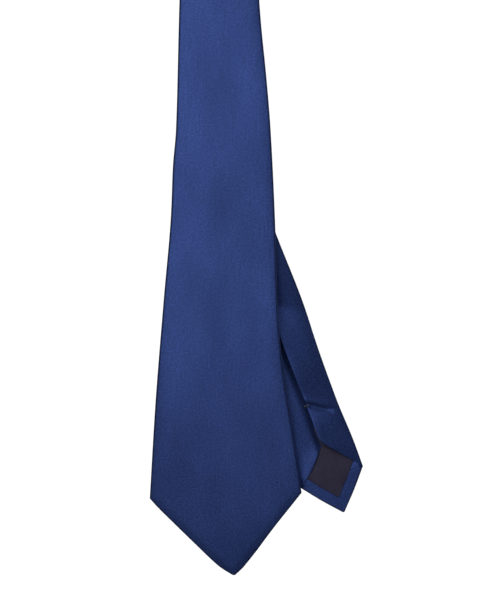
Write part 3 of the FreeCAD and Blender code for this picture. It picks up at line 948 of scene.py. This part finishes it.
def tag_stitches(name, rows):
    """Rows of stitches that hold a tag, each from a start by steps, with one stitch a step."""
    threads = Threads(FINE_R)
    lift = TAG_CLOTH + 0.2 * MM
    for x, z, step_x, step_z, stitch_x, stitch_z, count in rows:
        for index in range(count):
            start_x = x + index * step_x
            start_z = z + index * step_z
            threads.arc(on_back(start_x, start_z, lift),
                        on_back(start_x + stitch_x, start_z + stitch_z, lift), 0.1 * MM)
    return threads.make(name)


def maker_tag_stitches():
    """Down both ends."""
    low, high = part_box("maker_label")
    return tag_stitches("maker_tag_thread", [
        (x, low.z + 1.0 * MM, 0, 2.1 * MM, 0, 1.3 * MM, 10) for x in (low.x + 0.9 * MM,
                                                                    high.x - 0.9 * MM)])


def care_tag_stitches():
    """Along the upper edge."""
    low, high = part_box("care_label")
    return tag_stitches("care_tag_thread", [
        (low.x + 1.2 * MM, high.z - 1.0 * MM, 2.3 * MM, 0, 1.4 * MM, 0, 7)])


# --- Materials ---

class Finish:
    """A material of one base colour, and the nodes that vary it. Patterns run from 0 to 1."""

    def __init__(self, name, color, roughness, **settings):
        self.material = bpy.data.materials.new(name)
        self.material.use_nodes = True
        self.color = color
        self.nodes = self.material.node_tree.nodes
        self.links = self.material.node_tree.links
        self.inputs = self.nodes["Principled BSDF"].inputs
        self.inputs["Base Color"].default_value = (*color, 1)
        self.inputs["Roughness"].default_value = roughness
        for socket, value in settings.items():
            self.inputs[socket.replace("_", " ")].default_value = value

    def node(self, kind, values, linked, output):
        """A new node with the given input values and links. Gives the named output."""
        node = self.nodes.new("ShaderNode" + kind)
        for socket, value in values.items():
            node.inputs[socket].default_value = value
        for socket, source in linked.items():
            self.links.new(source, node.inputs[socket])
        return node.outputs[output]

    def math(self, operation, values, linked):
        result = self.node("Math", values, linked, "Value")
        result.node.operation = operation
        return result

    def flat_place(self):
        place = self.nodes.new("ShaderNodeUVMap")
        place.uv_map = "cloth"
        return place.outputs["UV"]

    def cloth(self, turn=0.0, stretch=(1, 1)):
        """The place on the flat cloth, in metres, turned and stretched for a pattern."""
        return self.node("Mapping", {"Rotation": (0, 0, turn), "Scale": (*stretch, 1)},
                         {"Vector": self.flat_place()}, "Vector")

    def body(self):
        """The place on the piece itself."""
        return self.nodes.new("ShaderNodeTexCoord").outputs["Object"]

    def noise(self, vector, size, detail):
        """Soft noise with lumps of about the given size."""
        return self.node("TexNoise", {"Scale": 1 / size, "Detail": detail}, {"Vector": vector}, "Fac")

    def bands(self, vector, pitch):
        """Parallel threads at the given pitch."""
        return self.node("TexWave", {"Scale": 2 * math.pi / (20 * pitch)}, {"Vector": vector}, "Fac")

    def spread(self, value, low, high, from_low=0.0, from_high=1.0):
        """A pattern turned into a range from low to high."""
        return self.node("MapRange", {"From Min": from_low, "From Max": from_high, "To Min": low,
                                      "To Max": high}, {"Value": value}, "Result")

    def blotch(self, value, share):
        """A noise pattern turned into shades up to the given share darker and lighter."""
        return self.spread(value, 1 - share, 1 + share, 0.3, 0.7)

    def shade(self, *patterns):
        """Scales the base colour by all the patterns multiplied together."""
        result = patterns[0]
        for pattern in patterns[1:]:
            result = self.math("MULTIPLY", {}, {0: result, 1: pattern})
        scaled = self.node("VectorMath", {0: self.color}, {}, "Vector")
        scaled.node.operation = "SCALE"
        self.links.new(result, scaled.node.inputs["Scale"])
        self.links.new(scaled, self.inputs["Base Color"])

    def roughen(self, pattern, low, high):
        self.links.new(self.spread(pattern, low, high), self.inputs["Roughness"])

    def bump(self, pattern, height):
        """Adds a relief of the given height in metres, on top of any before it."""
        relief = self.node("Bump", {"Distance": height, "Strength": 1.0}, {"Height": pattern}, "Normal")
        before = self.inputs["Normal"].links
        if before:
            self.links.new(before[0].from_socket, relief.node.inputs["Normal"])
        self.links.new(relief, self.inputs["Normal"])


def satin_material():
    """Navy satin cut on the bias: fine diagonal threads, grain and streaks, with painted shade along the
    long edges and over the seam.
    """
    satin = Finish("navy_satin", (0.031, 0.057, 0.200), 0.40, Metallic=0.65, Specular_IOR_Level=0.08,
                   Sheen_Weight=0.04, Sheen_Roughness=0.4, Sheen_Tint=(0.15, 0.28, 0.85, 1))
    diagonal = math.radians(45)
    weave = satin.bands(satin.cloth(diagonal), 0.45 * MM)
    cross = satin.bands(satin.cloth(-diagonal), 0.8 * MM)
    grain = satin.noise(satin.cloth(), 1.0 * MM, 3)
    streak = satin.noise(satin.cloth(diagonal, (1, 0.08)), 0.9 * MM, 2)
    cloud = satin.noise(satin.cloth(0, (1, 0.45)), 22 * MM, 1)
    fold = satin.nodes.new("ShaderNodeAttribute")
    fold.attribute_name = "fold"
    # painted shade: the shade attribute darkens the colour to 0.45 of itself where it is full
    satin.shade(satin.spread(weave, 0.93, 1.06), satin.blotch(grain, 0.30), satin.blotch(streak, 0.08),
                satin.blotch(cloud, 0.11), satin.spread(fold.outputs["Fac"], 1.0, 0.45))
    satin.roughen(grain, 0.30, 0.42)
    for pattern, height in ((weave, 0.03), (cross, 0.015), (grain, 0.045), (cloud, 0.25)):
        satin.bump(pattern, height * MM)
    return satin.material


def lining_material():
    """Charcoal lining satin: plain close weave, glossier than the shell, softly rumpled."""
    satin = Finish("charcoal_lining", (0.034, 0.028, 0.066), 0.35, Specular_IOR_Level=0.2)
    warp = satin.bands(satin.cloth(), 0.28 * MM)
    weft = satin.bands(satin.cloth(math.radians(90)), 0.36 * MM)
    grain = satin.noise(satin.cloth(), 0.8 * MM, 3)
    rumple = satin.noise(satin.cloth(0, (1, 0.6)), 7 * MM, 1)
    satin.shade(satin.spread(warp, 0.90, 1.10), satin.blotch(grain, 0.18), satin.blotch(rumple, 0.12))
    satin.roughen(grain, 0.32, 0.42)
    for pattern, height in ((warp, 0.02), (weft, 0.02), (rumple, 0.25)):
        satin.bump(pattern, height * MM)
    return satin.material


def wool_material():
    """Brushed cream wool: matt and fuzzy, with a loose weave under the nap."""
    wool = Finish("brushed_wool", (0.75, 0.72, 0.65), 0.9, Sheen_Weight=0.4)
    nap = wool.noise(wool.body(), 0.9 * MM, 5)
    weave = wool.noise(wool.body(), 2.2 * MM, 1)
    wool.shade(wool.spread(nap, 0.84, 1.12, 0.3, 0.7), wool.spread(weave, 0.93, 1.05, 0.3, 0.7))
    wool.roughen(nap, 0.82, 0.96)
    wool.bump(nap, 0.2 * MM)
    return wool.material


def thread_material():
    """Navy sewing thread: twisted fibres with a soft shine."""
    thread = Finish("navy_thread", (0.018, 0.030, 0.095), 0.5, Sheen_Weight=0.3)
    fibres = thread.noise(thread.body(), 0.15 * MM, 3)
    thread.shade(thread.blotch(fibres, 0.3))
    thread.roughen(fibres, 0.42, 0.6)
    thread.bump(fibres, 0.04 * MM)
    return thread.material


def tag_material(name, color, border, shape, pitch):
    """A blank woven tag: fine ribs across it and a border line woven just inside its edge. border
    is the line's shade, and shape the tag's height over its width."""
    woven = Finish(name, color, 0.6)
    parts = woven.nodes.new("ShaderNodeSeparateXYZ")
    woven.links.new(woven.flat_place(), parts.inputs["Vector"])
    ribs = woven.bands(woven.body(), pitch)
    fuzz = woven.noise(woven.body(), 0.5 * MM, 3)
    lines = []
    for axis, share in (("X", shape), ("Y", 1.0)):
        folded = woven.math("PINGPONG", {1: 0.5}, {0: parts.outputs[axis]})
        lines.append(woven.math("COMPARE", {1: 0.09 * share, 2: 0.014 * share}, {0: folded}))
    line = woven.math("MAXIMUM", {}, {0: lines[0], 1: lines[1]})
    woven.shade(woven.spread(ribs, 0.88, 1.08), woven.blotch(fuzz, 0.1), woven.spread(line, 1.0, border))
    woven.roughen(fuzz, 0.5, 0.7)
    woven.bump(ribs, 0.03 * MM)
    woven.bump(fuzz, 0.04 * MM)
    return woven.material


MATERIALS = {
    "satin": satin_material(),
    "lining": lining_material(),
    "wool_core": wool_material(),
    "thread": thread_material(),
    "label": tag_material("woven_label", (0.022, 0.030, 0.070), 1.9, 0.5, 0.4 * MM),
    "care_label": tag_material("care_tag", (0.75, 0.75, 0.74), 0.8, 1.3, 0.5 * MM),
}


# --- Assembly ---

def on_upper(obj):
    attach(obj, "upper_tie")


def on_blade(obj):
    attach(obj, "blade_end")


def on_tail(obj):
    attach(obj, "tail_end")


def along_blade(obj):
    """Bakes the piece's place into its mesh and attaches it to no body. The blade turns up just below
    the keeper loop, but nothing here bends the piece with it.
    """
    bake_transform(obj)


def along_tail(obj):
    """Bakes the piece's place into its mesh and attaches it to no body. The tail turns sideways inside
    the keeper loop, but nothing here bends the piece with it.
    """
    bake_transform(obj)


def finish_piece(obj, slot, follow, *nodes):
    """Gives a piece its material, runs the given follow step on it and hides the CAD parts that it
    stands in for.
    """
    obj.data.materials.append(MATERIALS[slot])
    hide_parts(*nodes)
    follow(obj)
    return obj


blade_satin = finish_piece(
    leg_shell(BLADE, [300 * MM, 125 * MM, BLADE.mouth, BLADE.corner, 6 * MM],
              [0.4, 4, 3, 1.5, 1.2, 1.2, 0.5]),
    "satin", along_blade, "blade_shell_upper", "blade_shell_end")
tail_satin = finish_piece(
    leg_shell(TAIL, [240 * MM, 190 * MM, 130 * MM, TAIL.mouth, TAIL.corner, 4 * MM],
              [0.4, 4, 1.5, 2, 1, 0.7, 0.8, 0.4]),
    "satin", along_tail, "tail_shell_upper", "tail_shell_end")
neck_satin = finish_piece(neck_shell(), "satin", on_upper, "neck_shell")

blade_core = finish_piece(leg_core(BLADE), "wool_core", along_blade, "interlining_blade_end")
tail_core = finish_piece(leg_core(TAIL), "wool_core", along_tail, "interlining_tail_end")
middle_core = finish_piece(neck_core(), "wool_core", on_upper, "interlining_middle")

blade_lining = finish_piece(lining(BLADE), "lining", on_blade, "blade_tipping")
tail_lining = finish_piece(lining(TAIL), "lining", on_tail, "tail_tipping")

loop_band = finish_piece(keeper_loop(), "satin", on_upper, "keeper_loop")
maker_tag = finish_piece(tag("maker_tag", "maker_label", 0), "label", on_upper, "maker_label")
care_tag = finish_piece(tag("care_tag", "care_label", 0.6 * MM), "care_label", along_blade,
                        "care_label")


def add_threads():
    """Every row of stitches, as pieces of their own."""
    for leg, gap, at_end, along in ((BLADE, 8 * MM, on_blade, along_blade),
                                    (TAIL, 6 * MM, on_tail, along_tail)):
        finish_piece(slip_stitch(leg, gap), "thread", along, leg.name + "_slip_stitch_upper",
                     leg.name + "_slip_stitch_end")
        finish_piece(bar_tack(leg), "thread", at_end, leg.name + "_bar_tack")
        finish_piece(tipping_stitches(leg), "thread", at_end, leg.name + "_tipping_stitches")
        finish_piece(seam_stitches(leg), "thread", on_upper, leg.name + "_neck_seam")
    finish_piece(tab_stitches(), "thread", on_upper, "keeper_loop_stitches")
    finish_piece(maker_tag_stitches(), "thread", on_upper, "maker_label_stitches")
    finish_piece(care_tag_stitches(), "thread", along_blade, "care_label_stitches")


add_threads()


# --- Cloth sizes before folding and sewing ---

def cut_out(width_at, low, high):
    """Works out the width of a cloth's cut at each place along its length; nothing is done with the
    widths.
    """
    widths = np.array([width_at(place) for place in np.linspace(low, high, 200)])


def declare_sheets():
    """Shell panels wrap both faces, with the underlap and two turned-in edges besides."""
    wrap = UNDERLAP + 2 * TURN_IN
    for leg, satin, wool, lined in ((BLADE, blade_satin, blade_core, blade_lining),
                                    (TAIL, tail_satin, tail_core, tail_lining)):
        cut_out(lambda rise: 2 * leg.width(rise) + wrap, 0, leg.top)
        cut_out(lambda rise: leg.width(rise) - 2 * CORE_INSET,
                CORE_BOTTOM, leg.top - CORE_SHORT)
        cut_out(leg.width, HEM, lining_top(leg))
    cut_out(lambda run: 4 * NECK_HALF + wrap,
            -NECK_FRONT, NECK_BACK)
    cut_out(lambda run: 2 * (NECK_HALF - CORE_INSET),
            -NECK_FRONT - CORE_OVERLAP, NECK_BACK + CORE_OVERLAP)


declare_sheets()


# --- Stage ---

VIEW_CENTRE = Vector((17.4 * MM, 0, BLADE_TIP_Z + 155 * MM))
VIEW_HEIGHT = 337.5 * MM
VIEW_DISTANCE = 2.4
SENSOR_MM = 36
WHITE = (1, 1, 1, 1)
WORLD_SOFT = 0.19           # strength of the world's light on the cloth
WORLD_SEEN = 1.05           # and as the camera sees it
FLOOR_HALF = 6.0
FLOOR_DROP = 0.5            # from the tip down to the floor


def make_camera():
    data = bpy.data.cameras.new("camera")
    data.sensor_fit = "AUTO"
    data.sensor_width = SENSOR_MM
    data.lens = SENSOR_MM * VIEW_DISTANCE / VIEW_HEIGHT
    data.clip_end = 50
    camera = bpy.data.objects.new("camera", data)
    bpy.context.scene.collection.objects.link(camera)
    camera.location = VIEW_CENTRE + Vector((0, -VIEW_DISTANCE, 0))
    camera.rotation_euler = (math.pi / 2, 0, 0)
    bpy.context.scene.camera = camera


def area_light(name, place, target, width, height, power):
    """A soft panel of light at a place, turned to the target. Power is in watts."""
    data = bpy.data.lights.new(name, "AREA")
    data.shape = "RECTANGLE"
    data.size = width
    data.size_y = height
    data.energy = power
    light = bpy.data.objects.new(name, data)
    bpy.context.scene.collection.objects.link(light)
    light.location = place
    light.rotation_euler = (Vector(target) - Vector(place)).to_track_quat("-Z", "Y").to_euler()
    light.visible_camera = False


def make_world():
    """White to the camera, softer to the cloth."""
    world = bpy.data.worlds.new("studio")
    bpy.context.scene.world = world
    world.use_nodes = True
    nodes = world.node_tree.nodes
    links = world.node_tree.links
    background = nodes["Background"]
    background.inputs["Color"].default_value = WHITE
    path = nodes.new("ShaderNodeLightPath")
    strength = nodes.new("ShaderNodeMapRange")
    strength.inputs["To Min"].default_value = WORLD_SOFT
    strength.inputs["To Max"].default_value = WORLD_SEEN
    links.new(path.outputs["Is Camera Ray"], strength.inputs["Value"])
    links.new(strength.outputs["Result"], background.inputs["Strength"])


def make_floor():
    """A plain pale floor well below the tie, lit evenly by itself so that it casts nothing back."""
    corners = [(x * FLOOR_HALF, y * FLOOR_HALF, 0) for x, y in ((-1, -1), (1, -1), (1, 1), (-1, 1))]
    floor = mesh_object("floor", corners, [(0, 1, 2, 3)])
    floor.location.z = BLADE_TIP_Z - FLOOR_DROP
    pale = Finish("pale_floor", (0.5, 0.5, 0.5), 0.8, Emission_Color=WHITE, Emission_Strength=0.75)
    floor.data.materials.append(pale.material)
    floor.visible_diffuse = False
    floor.visible_glossy = False


make_camera()
make_world()
make_floor()
area_light("key", (-0.05, -0.35, -0.11), (0.0, 0, -0.11), 0.26, 0.95, 1.36)
area_light("low_key", (-0.08, -0.38, -0.6), (0, 0, -0.6), 0.15, 0.2, 0.15)
area_light("side", (1.1, 0.45, 0.1), (0, 0, -0.4), 0.6, 1.0, 5)
area_light("back", (0.4, 1.2, 0.1), (0, 0, -0.4), 0.8, 1.0, 15)
bpy.context.scene.view_settings.view_transform = "Standard"
